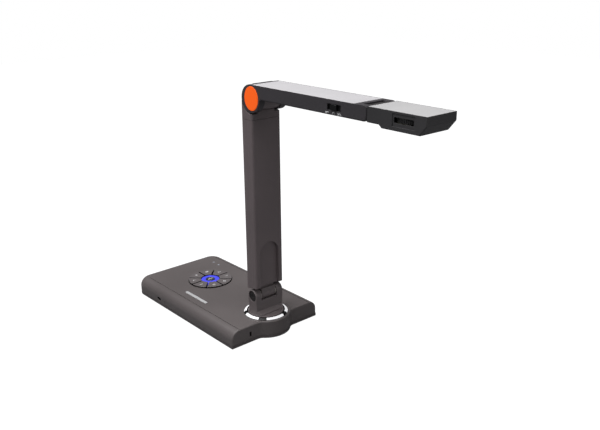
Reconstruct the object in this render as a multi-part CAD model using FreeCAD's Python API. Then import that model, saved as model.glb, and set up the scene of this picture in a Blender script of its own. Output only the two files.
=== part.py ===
import FreeCAD, Part
import math
import os

# A desk document camera: flat base, swivelling turret, folding two-piece arm and tilting camera head.
# Millimetres, +Z up. The origin is on the desk, under the turret's swivel axis. +X points from the
# base towards the camera head, and +Y is across the base.

V = FreeCAD.Vector
os.makedirs("parts", exist_ok=True)

# ---- driving dimensions -------------------------------------------------------------------------

# running and assembly clearances
FIT = 0.05                 # radial clearance of a pin in its bore
GAP = 0.4                  # between a moving piece and its neighbour
SEAM = 0.3                 # between two fixed covers
SEAT = 0.02                # between pieces that are stacked and screwed together

# base
BASE_FRONT = 20.4          # flat end, on the turret side
BASE_LENGTH = 241.4
BASE_WIDTH = 143.6
FOOT_HEIGHT = 1.0          # rubber below the case
BASE_TOP = 24.6
BASE_EDGE_R = 12.5         # rounding along the top edges
BASE_CORNER_R = 20.0       # plan corners at the keypad end
BASE_END_R = 1.6           # edge of the flat end
CREASE_W = 1.5             # fine groove where the flat top meets the rounded long edges
CREASE_DEPTH = 0.8
COVER_LIP = 4.0            # height of the bottom cover's visible band
CASE_WALL = 2.4
BULGE_R = 32.6             # round swelling of the base around the turret
BULGE_BLEND_R = 10.0
FOOT_R = 7.0
FRONT_FOOT_R = 20.0
FOOT_SINK = 1.2            # depth of the foot's recess in the cover
SCREW_R = 1.5
SCREW_HEAD_R = 2.8
SCREW_HEAD_H = 1.4

# keypad
PAD_X = -135.5
PAD_Y = 4.0
PAD_R = 31.6
PAD_KEYS = 8
PAD_KEY_GAP = 2.0          # slot between neighbouring keys
PAD_RISE = 2.0             # outer keys stand this far above the case
KEY_TRAVEL = 0.8
KEY_SKIRT = 2.4            # part of a key below the case's surface
RING_OUT_R = 13.2          # lit ring
RING_IN_R = 7.2
RING_RISE = 0.7
OK_KEY_RISE = 1.0

# badge and indicator windows
BADGE_X = -97.5
BADGE_Y = -46.2
BADGE_LENGTH = 50.0
BADGE_WIDTH = 4.6
BADGE_RISE = 0.3
BADGE_SINK = 0.5
LIGHT_X = (-186.0, -172.5)
LIGHT_Y = (45.5, 45.0)
LIGHT_R = 1.5

# sockets
SIDE_PORT_X = -156.0
SIDE_PORT_Z = 10.0
SIDE_PORT_W = 9.6
SIDE_PORT_H = 4.0
PINHOLE_X = -142.5
PINHOLE_R = 0.8
REAR_USB_Y = 22.0
REAR_USB_W = 12.0
REAR_USB_H = 10.6
REAR_JACK_Y = -18.0
REAR_JACK_R = 4.2
REAR_Z = 10.8
SOCKET_DEPTH = 10.0
LOCK_Y = -42.0
LOCK_Z = 12.2
LOCK_W = 3.0
LOCK_H = 7.0

# turret
RING_R = 29.2              # polished trim ring
RING_WIDTH = 5.0
RING_HEIGHT = 2.2
DISC_R = 23.8
DISC_TOP = BASE_TOP + 3.0
SPINDLE_R = 9.0
SPINDLE_BORE_R = 4.0
NUT_R = 13.0
NUT_H = 3.0
WASHER_H = 0.6
EAR_R = 8.6
EAR_W = 9.4
HINGE_Z = 52.5
HINGE_PIN_R = 3.0
EAR_CAP_R = 7.3
EAR_CAP_SINK = 2.2
EAR_CAP_RECESS = 1.1       # how far the cap's face lies below the ear's
EAR_ROUND = 0.9
LIP_BELOW = 6.2            # the saddle's front lip ends this far below the hinge
SIDE_GAP = 1.6             # space for a slip washer each side of the lower barrel
KNUCKLE_R = 7.2            # barrel between the ears

# arms
ARM_W = 44.4
ARM_BACK = -9.9
ARM_FACE = 10.0
ARM_WALL = 1.8
ARM_EDGE_R = 2.6           # long front edges
ARM_BACK_R = 1.2           # long back edges
HINGE_CLEAR_R = 9.2        # arm ends stay outside this radius around the lower hinge
NECK_Z = 287.0             # joint between the lower arm's covers and its elbow neck
RECESS_W = 30.6
RECESS_TOP = 126.2
RECESS_DEPTH = 4.2
RECESS_BOTTOM = 63.5
ELBOW_X = 9.6
ELBOW_Z = 313.0
ELBOW_R = 18.0             # hood over the barrel
HUB_X = 8.0                # round outline of the ears, a little behind the pin
HUB_R = 17.0
ELBOW_EAR_W = 8.6
ELBOW_PIN_R = 4.0
ELBOW_BARREL_R = 14.6
HOOD_FROM = 3.0            # the upper arm's hood over the barrel, in degrees up from +X
HOOD_TO = 148.0
CAP_X = 10.0               # the caps are slightly taller than wide
CAP_Z = 313.5
CAP_RX = 12.8
CAP_RZ = 14.5
CAP_T = 2.0
CAP_RISE = 0.6
ARM_TOP = 330.0
UPPER_BOTTOM = 313.3
UPPER_END = 197.7
TOP_PLATE_T = 1.2
TOP_PLATE_START = 10.5
TOP_PLATE_END = 178.5
END_CORNER_R = 5.0
LOW_EDGE_R = 2.0           # long lower edges of the upper arm

# lamp switch on the upper arm
SWITCH_X = 151.0
SWITCH_Z = 322.0
SWITCH_SLOT_L = 20.5
SWITCH_SLOT_H = 7.0
SWITCH_KNOB_L = 8.0
SWITCH_STEP = 3.4          # distance between its three positions

# head
HEAD_START = 198.8
HEAD_END = 275.0
HEAD_STEP_X = 214.2
HEAD_STEP_RUN = 3.7
HEAD_REAR_BOTTOM = 313.6
HEAD_BOTTOM = 310.5
HEAD_NOSE_Z = 320.5
HEAD_NOSE_RUN = 8.4
TILT_X = 193.5
TILT_Z = 325.0
TILT_BARREL_R = 4.9
TILT_PIN_R = 1.6
TILT_EAR_W = 7.4
NOSE_R = 4.95              # the ears' top corners, rounded about the tilt pin to clear the head
LENS_X = 246.5
LENS_BEZEL_R = 13.0
LENS_BEZEL_RISE = 1.5
FOCUS_R = 21.6
FOCUS_H = 5.0
FOCUS_Z = 321.6
FOCUS_RIBS = 60
FOCUS_WINDOW_L = 25.0
FOCUS_WINDOW_H = 5.7
FOCUS_WINDOW_Z = 321.4
FOCUS_PANEL_L = 29.0
FOCUS_PANEL_H = 13.0
FOCUS_PANEL_DEPTH = 0.6
LAMP_X = 227.0

# ---- derived values -----------------------------------------------------------------------------

BASE_REAR = BASE_FRONT - BASE_LENGTH
BASE_HALF = BASE_WIDTH / 2
COVER_TOP = FOOT_HEIGHT + COVER_LIP
CASE_IN_TOP = BASE_TOP - CASE_WALL
COVER_T = CASE_WALL
COVER_IN = FOOT_HEIGHT + COVER_T
RING_IN = RING_R - RING_WIDTH
HALF_ARM = ARM_W / 2
EAR_IN = HALF_ARM - EAR_W
BARREL_HALF = EAR_IN - SIDE_GAP
ELBOW_EAR_IN = HALF_ARM - ELBOW_EAR_W
TONGUE_HALF = ELBOW_EAR_IN - GAP
TILT_EAR_IN = HALF_ARM - TILT_EAR_W
TILT_HALF = TILT_EAR_IN - GAP
PLATE_IN_Z = ARM_TOP - TOP_PLATE_T
SCREW_SPOTS = [(BASE_REAR + 22, -54), (BASE_REAR + 22, 54), (-96, -54), (-96, 54), (4, -54), (4, 54)]
BOARD_Z = COVER_IN + 7.0
BOARD_SPOTS = [(-200, -46), (-200, 46), (-40, -46), (-40, 46)]
FOOT_SPOTS = [(BASE_REAR + 38, -50), (BASE_REAR + 38, 50), (-14, -52), (-14, 52)]
FEET = [(x, y, FOOT_R) for x, y in FOOT_SPOTS] + [(0, 0, FRONT_FOOT_R)]


# ---- shape helpers ------------------------------------------------------------------------------

def box(x0, x1, y0, y1, z0, z1):
    return Part.makeBox(x1 - x0, y1 - y0, z1 - z0, V(x0, y0, z0))


def cyl(axis, x, y, z, r, length):
    """A cylinder that starts at x, y, z and runs the given length along the named axis."""
    way = {"x": V(1, 0, 0), "y": V(0, 1, 0), "z": V(0, 0, 1)}[axis]
    return Part.makeCylinder(r, length, V(x, y, z), way)


def tube(axis, x, y, z, r, bore, length):
    return cyl(axis, x, y, z, r, length).cut(cyl(axis, x, y, z, bore, length))


def prism(points, along, start, end):
    """Extrudes a closed outline. Along 'y' the points are (x, z), along 'z' (x, y), along 'x' (y, z)."""
    place = {"y": lambda a, b: V(a, start, b), "z": lambda a, b: V(a, b, start),
             "x": lambda a, b: V(start, a, b)}[along]
    way = {"y": V(0, end - start, 0), "z": V(0, 0, end - start), "x": V(end - start, 0, 0)}[along]
    corners = [place(a, b) for a, b in points]
    face = Part.Face(Part.makePolygon(corners + [corners[0]]))
    return face.extrude(way)


def join(shapes):
    whole = shapes[0]
    for shape in shapes[1:]:
        whole = whole.fuse(shape)
    return whole.removeSplitter()


def remove(shape, tools):
    for tool in tools:
        shape = shape.cut(tool)
    return shape


def both_sides(shape):
    """The shape and its mirror image across the y = 0 plane."""
    return [shape, shape.mirror(V(0, 0, 0), V(0, 1, 0))]


def round_edges(shape, radius, wanted):
    """Rounds the edges whose centre passes the test."""
    return shape.makeFillet(radius, [e for e in shape.Edges if wanted(e)])


def along(edge, axis):
    """True for a straight edge parallel to the named axis."""
    if not isinstance(edge.Curve, Part.Line):
        return False
    way = edge.Curve.Direction
    return abs({"x": way.x, "y": way.y, "z": way.z}[axis]) > 0.999


def save(name, shape):
    shape.exportStep("parts/" + name + ".step")


# ---- base case ----------------------------------------------------------------------------------

def case_block(inset, top, bottom):
    """The case's outer form, drawn in by a wall: a slab with rounded top edges and keypad-end corners."""
    block = box(BASE_REAR + inset, BASE_FRONT - inset, -BASE_HALF + inset, BASE_HALF - inset, bottom, top)
    corner = BASE_CORNER_R - inset
    block = round_edges(block, corner, lambda e: along(e, "z") and e.CenterOfMass.x < 0)
    edge = BASE_EDGE_R - inset

    def top_edge(e):
        return e.CenterOfMass.z > top - 0.01 and e.CenterOfMass.x < BASE_FRONT - inset - 0.1
    return round_edges(block, edge, top_edge)


def bulge_block(inset, top, bottom):
    """The round swelling around the turret, blended into the flat end on both sides."""
    radius = BULGE_R - inset
    blend = BULGE_BLEND_R + inset
    wall_x = BASE_FRONT - inset
    centre_x = wall_x + blend
    centre_y = math.sqrt((radius + blend) ** 2 - centre_x ** 2)
    touch = radius / (radius + blend)
    web = prism([(0, -centre_y), (wall_x, -centre_y), (centre_x * touch, -centre_y * touch),
                 (centre_x * touch, centre_y * touch), (wall_x, centre_y), (0, centre_y)], "z", bottom, top)
    height = top - bottom
    web = remove(web, [cyl("z", centre_x, side * centre_y, bottom, blend, height) for side in (-1, 1)])
    return web.fuse(cyl("z", 0, 0, bottom, radius, height)).removeSplitter()


def case_form(inset, top, bottom):
    return case_block(inset, top, bottom).fuse(bulge_block(inset, top, bottom)).removeSplitter()


def base_outline(bottom, top, inset):
    """A straight-sided block with the case's plan outline."""
    block = box(BASE_REAR + inset, BASE_FRONT - inset, -BASE_HALF + inset, BASE_HALF - inset, bottom, top)
    block = round_edges(block, BASE_CORNER_R - inset, lambda e: along(e, "z") and e.CenterOfMass.x < 0)
    return block.fuse(bulge_block(inset, top, bottom)).removeSplitter()


def side_port_form(x, depth_from, depth_to, grow):
    """A stadium-shaped bar through the long side, for the side socket and its opening."""
    half = SIDE_PORT_W / 2 - SIDE_PORT_H / 2
    r = SIDE_PORT_H / 2 + grow
    length = depth_to - depth_from
    bar = box(x - half, x + half, depth_from, depth_to, SIDE_PORT_Z - r, SIDE_PORT_Z + r)
    ends = [cyl("y", x + s * half, depth_from, SIDE_PORT_Z, r, length) for s in (-1, 1)]
    return join([bar] + ends)


def make_top_shell():
    outer = case_form(0, BASE_TOP, COVER_TOP + SEAM)

    def end_edge(e):
        return abs(e.CenterOfMass.x - BASE_FRONT) < 0.01 and e.CenterOfMass.z > COVER_TOP + 2
    outer = round_edges(outer, BASE_END_R, end_edge)
    inner = case_form(CASE_WALL, CASE_IN_TOP, COVER_TOP - 5)
    shell = outer.cut(inner)
    bosses = [cyl("z", x, y, COVER_TOP + 1, 4.0, CASE_IN_TOP - COVER_TOP - 0.5) for x, y in SCREW_SPOTS]
    collar = cyl("z", 0, 0, CASE_IN_TOP - 3.0, SPINDLE_R + 6.0, 3.5)
    pad_rim = tube("z", PAD_X, PAD_Y, CASE_IN_TOP - 1.4, PAD_R + 3.0, PAD_R + GAP, 2.0)
    shell = join([shell, collar, pad_rim] + bosses)
    cuts = [cyl("z", x, y, COVER_TOP - 2, SCREW_R, 12) for x, y in SCREW_SPOTS]
    cuts.append(cyl("z", PAD_X, PAD_Y, CASE_IN_TOP - 2, PAD_R + GAP, 12))
    cuts.append(cyl("z", 0, 0, 0, SPINDLE_R + FIT, 60))
    cuts.append(cyl("z", 0, 0, BASE_TOP - 0.8, RING_R + SEAT, 5))
    cuts.append(box(BADGE_X - BADGE_LENGTH / 2 - 0.05, BADGE_X + BADGE_LENGTH / 2 + 0.05,
                    BADGE_Y - BADGE_WIDTH / 2 - 0.05, BADGE_Y + BADGE_WIDTH / 2 + 0.05,
                    BASE_TOP - BADGE_SINK, BASE_TOP + 2))
    cuts += [cyl("z", x, y, CASE_IN_TOP - 1, LIGHT_R + FIT, 10) for x, y in zip(LIGHT_X, LIGHT_Y)]
    cuts.append(side_port_form(SIDE_PORT_X, -BASE_HALF - 2, -BASE_HALF + 8, FIT))
    cuts.append(cyl("y", PINHOLE_X, -BASE_HALF - 2, SIDE_PORT_Z, PINHOLE_R, 8))
    cuts.append(box(BASE_REAR - 2, BASE_REAR + 8, REAR_USB_Y - REAR_USB_W / 2 - FIT,
                    REAR_USB_Y + REAR_USB_W / 2 + FIT,
                    REAR_Z - REAR_USB_H / 2 - FIT, REAR_Z + REAR_USB_H / 2 + FIT))
    cuts.append(cyl("x", BASE_REAR - 2, REAR_JACK_Y, REAR_Z, REAR_JACK_R + FIT, 10))
    cuts.append(box(BASE_FRONT - 6, BASE_FRONT + 2, LOCK_Y - LOCK_W / 2, LOCK_Y + LOCK_W / 2,
                    LOCK_Z - LOCK_H / 2, LOCK_Z + LOCK_H / 2))
    groove = box(BASE_REAR + BASE_CORNER_R, BASE_FRONT + 1, -BASE_HALF + BASE_EDGE_R - CREASE_W / 2,
                 -BASE_HALF + BASE_EDGE_R + CREASE_W / 2, BASE_TOP - CREASE_DEPTH, BASE_TOP + 1)
    cuts += both_sides(groove)
    return remove(shell, cuts)


def make_bottom_cover():
    cover = base_outline(FOOT_HEIGHT, COVER_TOP, 0)
    cover = cover.cut(base_outline(COVER_IN, COVER_TOP + 1, CASE_WALL))
    post_top = COVER_TOP + 1.0 - SEAT
    posts = [cyl("z", x, y, COVER_IN - 0.5, 4.0, post_top - COVER_IN + 0.5) for x, y in SCREW_SPOTS]
    posts += [cyl("z", x, y, COVER_IN - 0.5, 3.4, BOARD_Z - SEAT - COVER_IN + 0.5) for x, y in BOARD_SPOTS]
    cover = join([cover] + posts)
    cuts = [cyl("z", x, y, 0, SCREW_R + FIT, 10) for x, y in SCREW_SPOTS]
    cuts += [cyl("z", x, y, 0, SCREW_HEAD_R + FIT, FOOT_HEIGHT + SCREW_HEAD_H) for x, y in SCREW_SPOTS]
    cuts += [cyl("z", x, y, 0, r + SEAT, FOOT_HEIGHT + FOOT_SINK) for x, y, r in FEET]
    return remove(cover, cuts)


def make_feet():
    """Four small rubber feet and the large one under the turret, whose middle is the part's origin."""
    return Part.makeCompound([cyl("z", x, y, 0, r, FOOT_HEIGHT + FOOT_SINK) for x, y, r in FEET])


def make_case_screws():
    screws = []
    for x, y in SCREW_SPOTS:
        head = cyl("z", x, y, FOOT_HEIGHT + 0.1, SCREW_HEAD_R, SCREW_HEAD_H - 0.1)
        shank = cyl("z", x, y, FOOT_HEIGHT + 0.5, SCREW_R - SEAT, COVER_TOP + 7 - FOOT_HEIGHT)
        slot = box(x - 1.6, x + 1.6, y - 0.3, y + 0.3, FOOT_HEIGHT, FOOT_HEIGHT + 0.7)
        cross = box(x - 0.3, x + 0.3, y - 1.6, y + 1.6, FOOT_HEIGHT, FOOT_HEIGHT + 0.7)
        screws.append(remove(join([head, shank]), [slot, cross]))
    return Part.makeCompound(screws)


def make_ballast():
    plate = box(BASE_REAR + 34, -26, -40, 40, COVER_IN + SEAT, COVER_IN + 5.0)
    return remove(plate, [cyl("z", x, y, 0, 3.0, 30) for x, y in ((-170, 0), (-50, 0))])


def make_main_board():
    z = BOARD_Z
    board = box(BASE_REAR + 13, -30, -56, 56, z, z + 1.6)
    chips = [box(-86, -66, -12, 8, z + 1.5, z + 3.4), box(-116, -104, 26, 40, z + 1.5, z + 2.9),
             box(-60, -50, 22, 30, z + 1.5, z + 2.9)]
    board = join([board] + chips)
    return remove(board, [cyl("z", x, y, 0, 5.0, 30) for x, y in SCREW_SPOTS])


# ---- keypad -------------------------------------------------------------------------------------

PAD_FLOOR = BASE_TOP - KEY_SKIRT - KEY_TRAVEL - GAP
KEY_IN_R = RING_OUT_R + GAP


def make_keypad_carrier():
    """The round tray under the keys: it closes the case's opening and holds the rubber mat."""
    tray = cyl("z", PAD_X, PAD_Y, PAD_FLOOR - 2.4, PAD_R + 2.6, 1.2)
    rim = tube("z", PAD_X, PAD_Y, PAD_FLOOR - 1.6, PAD_R + 2.6, PAD_R, PAD_RISE + 0.4)
    rim = rim.common(cyl("z", PAD_X, PAD_Y, PAD_FLOOR - 2.4, PAD_R + 2.6,
                         CASE_IN_TOP - 1.4 - SEAT - PAD_FLOOR + 2.4))
    return join([tray, rim])


def make_keypad_mat():
    mat = cyl("z", PAD_X, PAD_Y, PAD_FLOOR - 1.2 + SEAT, PAD_R - 0.4, 1.2 - 2 * SEAT)
    return mat


def make_light_ring():
    ring = tube("z", PAD_X, PAD_Y, PAD_FLOOR, RING_OUT_R, RING_IN_R, BASE_TOP + RING_RISE - PAD_FLOOR)
    top = BASE_TOP + RING_RISE

    def rim(e):
        return abs(e.CenterOfMass.z - top) < 0.01
    return ring.makeFillet(0.5, [e for e in ring.Edges if rim(e)])


def make_ok_key():
    low = BASE_TOP - KEY_SKIRT
    key = cyl("z", PAD_X, PAD_Y, low, RING_IN_R - GAP, KEY_SKIRT + OK_KEY_RISE)
    top = BASE_TOP + OK_KEY_RISE
    return key.makeFillet(0.6, [e for e in key.Edges if abs(e.CenterOfMass.z - top) < 0.01])


def make_wedge_key(index):
    """One of the outer keys: a ring sector, with even slots to its neighbours."""
    low = BASE_TOP - KEY_SKIRT
    height = KEY_SKIRT + PAD_RISE
    step = 2 * math.pi / PAD_KEYS
    middle = step * (index + 0.5)
    sector = tube("z", 0, 0, low, PAD_R, KEY_IN_R, height)
    for side in (-1, 1):
        angle = middle + side * step / 2
        normal = V(-math.sin(angle) * side, math.cos(angle) * side, 0)
        start = V(0, 0, low - 1) - normal * (PAD_KEY_GAP / 2)
        knife = Part.makeBox(4 * PAD_R, 4 * PAD_R, height + 2, V(-2 * PAD_R, 0, 0))
        knife.rotate(V(0, 0, 0), V(0, 0, 1), math.degrees(math.atan2(-normal.x, normal.y)))
        knife.translate(start)
        sector = sector.cut(knife)
    centre = V(math.cos(middle), math.sin(middle), 0)
    half = cyl("z", 0, 0, low - 1, PAD_R * 2, height + 2)
    keep = Part.makeBox(4 * PAD_R, 4 * PAD_R, height + 2, V(0, -2 * PAD_R, low - 1))
    keep.rotate(V(0, 0, 0), V(0, 0, 1), math.degrees(math.atan2(centre.y, centre.x)))
    sector = sector.common(half.common(keep))
    top = low + height
    sector = sector.makeFillet(0.6, [e for e in sector.Edges if abs(e.CenterOfMass.z - top) < 0.01])
    sector.translate(V(PAD_X, PAD_Y, 0))
    return sector


# ---- small base pieces --------------------------------------------------------------------------

def make_badge():
    bar = box(BADGE_X - BADGE_LENGTH / 2, BADGE_X + BADGE_LENGTH / 2, BADGE_Y - BADGE_WIDTH / 2,
              BADGE_Y + BADGE_WIDTH / 2, BASE_TOP - BADGE_SINK + SEAT, BASE_TOP + BADGE_RISE)
    return round_edges(bar, 1.2, lambda e: along(e, "z"))


def make_light_pipes():
    pipes = [cyl("z", x, y, CASE_IN_TOP - 1.5, LIGHT_R, BASE_TOP + 0.15 - CASE_IN_TOP + 1.5)
             for x, y in zip(LIGHT_X, LIGHT_Y)]
    return Part.makeCompound(pipes)


def make_side_socket():
    mouth = -BASE_HALF + 0.6
    body = side_port_form(SIDE_PORT_X, mouth, mouth + SOCKET_DEPTH, 0)
    hollow = side_port_form(SIDE_PORT_X, mouth - 1, mouth + SOCKET_DEPTH - 1.5, -0.5)
    tongue = box(SIDE_PORT_X - 3.0, SIDE_PORT_X + 3.0, mouth + 1.0, mouth + SOCKET_DEPTH - 1.0,
                 SIDE_PORT_Z - 0.35, SIDE_PORT_Z + 0.35)
    return join([body.cut(hollow), tongue])


def make_rear_usb():
    front = BASE_REAR + 0.6
    body = box(front, front + SOCKET_DEPTH + 2, REAR_USB_Y - REAR_USB_W / 2, REAR_USB_Y + REAR_USB_W / 2,
               REAR_Z - REAR_USB_H / 2, REAR_Z + REAR_USB_H / 2)
    wall = 0.7
    hollow = box(front - 1, front + SOCKET_DEPTH, REAR_USB_Y - REAR_USB_W / 2 + wall,
                 REAR_USB_Y + REAR_USB_W / 2 - wall,
                 REAR_Z - REAR_USB_H / 2 + wall, REAR_Z + REAR_USB_H / 2 - wall)
    tongue = box(front + 1.0, front + SOCKET_DEPTH + 0.5, REAR_USB_Y - 2.8, REAR_USB_Y + 2.8,
                 REAR_Z - 1.6, REAR_Z + 1.6)
    return join([body.cut(hollow), tongue])


def make_power_jack():
    front = BASE_REAR + 0.6
    body = tube("x", front, REAR_JACK_Y, REAR_Z, REAR_JACK_R, REAR_JACK_R - 1.2, SOCKET_DEPTH)
    back = cyl("x", front + SOCKET_DEPTH - 0.5, REAR_JACK_Y, REAR_Z, REAR_JACK_R, 2.0)
    pin = cyl("x", front + 1.0, REAR_JACK_Y, REAR_Z, 1.0, SOCKET_DEPTH - 1.0)
    return join([body, back, pin])


def make_lock_plate():
    x = BASE_FRONT - CASE_WALL
    plate = box(x - 1.6, x - SEAT, LOCK_Y - 8, LOCK_Y + 8, LOCK_Z - 6, LOCK_Z + 6)
    return plate.cut(box(x - 5, x + 5, LOCK_Y - LOCK_W / 2, LOCK_Y + LOCK_W / 2, LOCK_Z - LOCK_H / 2,
                         LOCK_Z + LOCK_H / 2))


# ---- turret -------------------------------------------------------------------------------------

def make_trim_ring():
    """The polished ring around the turret, with sloping inner and outer faces."""
    low = BASE_TOP - 0.8 + SEAT
    high = BASE_TOP + RING_HEIGHT
    outline = [(RING_IN, low), (RING_R, low), (RING_R, BASE_TOP + 0.5), (RING_R - 1.9, high),
               (RING_IN + 1.3, high), (RING_IN, BASE_TOP + 1.0)]
    corners = [V(r, 0, z) for r, z in outline]
    face = Part.Face(Part.makePolygon(corners + [corners[0]]))
    ring = face.revolve(V(0, 0, 0), V(0, 0, 1), 360)
    return ring.makeFillet(0.35, [e for e in ring.Edges if abs(e.CenterOfMass.z - high) < 0.01])


BRACKET_BOLTS = [(-5.2, -13.5), (5.2, -13.5), (-5.2, 13.5), (5.2, 13.5)]
DISC_LOW = BASE_TOP - 0.8 + 2 * SEAT + WASHER_H
COLLAR_LOW = CASE_IN_TOP - 3.0


def make_turret_washers():
    """The two slip washers: one under the disc and one between the case's collar and the nut."""
    upper = tube("z", 0, 0, BASE_TOP - 0.8 + SEAT, RING_IN - GAP, SPINDLE_R + 0.6, WASHER_H)
    lower = tube("z", 0, 0, COLLAR_LOW - SEAT - WASHER_H, SPINDLE_R + 5.0, SPINDLE_R + FIT, WASHER_H)
    return Part.makeCompound([upper, lower])


def make_turret_disc():
    """The turning disc and the hollow spindle that passes down through the case."""
    disc = cyl("z", 0, 0, DISC_LOW, DISC_R, DISC_TOP - DISC_LOW)
    disc = disc.makeFillet(0.6, [e for e in disc.Edges if abs(e.CenterOfMass.z - DISC_TOP) < 0.01])
    spindle = cyl("z", 0, 0, COLLAR_LOW - 2 * SEAT - WASHER_H - NUT_H - 1.0, SPINDLE_R, 12)
    spindle = spindle.common(cyl("z", 0, 0, COLLAR_LOW - 6, SPINDLE_R, DISC_LOW + 1 - COLLAR_LOW + 6))
    disc = join([disc, spindle])
    bolts = [cyl("z", x, y, 0, 2.0, 60) for x, y in BRACKET_BOLTS]
    return remove(disc, [cyl("z", 0, 0, 0, SPINDLE_BORE_R, 60)] + bolts)


def make_spindle_nut():
    top = COLLAR_LOW - 2 * SEAT - WASHER_H
    turns = [math.radians(60 * k) for k in range(7)]
    hexagon = Part.makePolygon([V(NUT_R * math.cos(t), NUT_R * math.sin(t), top - NUT_H) for t in turns])
    nut = Part.Face(hexagon).extrude(V(0, 0, NUT_H))
    return nut.cut(cyl("z", 0, 0, 0, SPINDLE_R, 60))


def make_turret_bracket():
    """The saddle on the disc, with an ear on each side for the lower arm's hinge."""
    low = DISC_TOP + SEAT
    floor = HINGE_Z - EAR_R - 1.2
    saddle = box(-EAR_R, EAR_R, -HALF_ARM, HALF_ARM, low, floor)
    foot = prism([(-EAR_R - 5.5, low), (EAR_R + 5.5, low), (EAR_R + 5.5, low + 0.9), (EAR_R, low + 5.0),
                  (-EAR_R, low + 5.0), (-EAR_R - 5.5, low + 0.9)], "y", -HALF_ARM, HALF_ARM)
    foot = foot.common(cyl("z", 0, 0, low, DISC_R - 0.6, 12))
    saddle = saddle.common(cyl("z", 0, 0, low, DISC_R - 0.6, 60))
    parts = [saddle, foot]

    def rim_edge(e):
        return e.CenterOfMass.z > floor - 3.5 and not along(e, "y")
    for side in (-1, 1):
        y0 = EAR_IN if side > 0 else -HALF_ARM
        ear = box(-EAR_R, EAR_R, y0, y0 + EAR_W, floor - 4, HINGE_Z)
        ear = join([ear, cyl("y", 0, y0, HINGE_Z, EAR_R, EAR_W)])
        parts.append(round_edges(ear, EAR_ROUND, rim_edge))
    lip = box(2.0, EAR_R, -EAR_IN - 0.5, EAR_IN + 0.5, floor - 1, HINGE_Z - LIP_BELOW)
    parts.append(lip.cut(cyl("y", 0, -EAR_IN - 1, HINGE_Z, KNUCKLE_R + GAP, 2 * EAR_IN + 2)))
    bracket = join(parts)
    cuts = [cyl("y", 0, -HALF_ARM - 1, HINGE_Z, HINGE_PIN_R + SEAT, ARM_W + 2)]
    cuts += both_sides(cyl("y", 0, HALF_ARM - EAR_CAP_SINK, HINGE_Z, EAR_CAP_R + SEAT, 5))
    cuts.append(cyl("z", 0, 0, 0, SPINDLE_BORE_R, 60))
    cuts += [cyl("z", x, y, 0, 1.6, low + 12) for x, y in BRACKET_BOLTS]
    return remove(bracket, cuts)


def make_bracket_screws():
    screws = []
    for x, y in BRACKET_BOLTS:
        shank = cyl("z", x, y, DISC_LOW + 0.6, 1.58, DISC_TOP + 10 - DISC_LOW)
        screws.append(shank)
    return Part.makeCompound(screws)


def make_hinge_caps():
    """The round covers sunk in the ears over the ends of the hinge pin."""
    outer = HALF_ARM - EAR_CAP_RECESS
    cap = cyl("y", 0, HALF_ARM - EAR_CAP_SINK + SEAT, HINGE_Z, EAR_CAP_R,
              outer - HALF_ARM + EAR_CAP_SINK - SEAT)
    dimple = cyl("y", 0, outer - 0.5, HINGE_Z, 2.4, 2)
    return Part.makeCompound(both_sides(cap.cut(dimple)))


def make_hinge_pin():
    half = HALF_ARM - EAR_CAP_SINK - SEAT
    return cyl("y", 0, -half, HINGE_Z, HINGE_PIN_R, 2 * half)


def make_hinge_washers():
    ring = tube("y", 0, BARREL_HALF + 0.05, HINGE_Z, KNUCKLE_R - 0.8, HINGE_PIN_R + FIT, SIDE_GAP - 0.1)
    return Part.makeCompound(both_sides(ring))


# ---- lower arm ----------------------------------------------------------------------------------

ARM_LOW = HINGE_Z + HINGE_CLEAR_R
SLANT_FRONT_Z = 65.8
COVER_SPLIT = 1.5          # the front and rear covers meet on this x
ARM_SCREWS = [(y, z) for z in (150.0, 262.0) for y in (-15.6, 15.6)]


def arm_block(x0, x1, z0, z1, inset):
    """A straight arm section with rounded long edges."""
    block = box(ARM_BACK + inset, ARM_FACE - inset, -HALF_ARM + inset, HALF_ARM - inset, z0, z1)
    block = round_edges(block, max(ARM_EDGE_R - inset, 0.6),
                        lambda e: along(e, "z") and e.CenterOfMass.x > 0)
    if inset == 0:
        block = round_edges(block, ARM_BACK_R, lambda e: along(e,
                                                               "z") and e.CenterOfMass.x < ARM_BACK + 0.01)
    return block.common(box(x0, x1, -HALF_ARM, HALF_ARM, z0, z1))


def recess_form(grow, depth):
    """The arch-topped hollow in the front cover that takes the folded head's lens."""
    r = RECESS_W / 2 + grow
    centre = RECESS_TOP - RECESS_W / 2
    low = RECESS_BOTTOM - 8
    x0 = ARM_FACE - depth
    slab = box(x0, ARM_FACE + 3, -r, r, low, centre)
    return slab.fuse(cyl("x", x0, 0, centre, r, ARM_FACE + 3 - x0)).removeSplitter()


def slant_cut():
    """What the covers' lower ends lose: they rise a little from the back of the arm to its front."""
    rise = (SLANT_FRONT_Z - ARM_LOW) / (ARM_FACE - ARM_BACK)
    low_z = ARM_LOW - rise * 5
    high_z = SLANT_FRONT_Z + rise * 5
    return prism([(ARM_BACK - 5, ARM_LOW - 5), (ARM_FACE + 5, ARM_LOW - 5), (ARM_FACE + 5, high_z),
                  (ARM_BACK - 5, low_z)], "y", -HALF_ARM - 1, HALF_ARM + 1)


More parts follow.
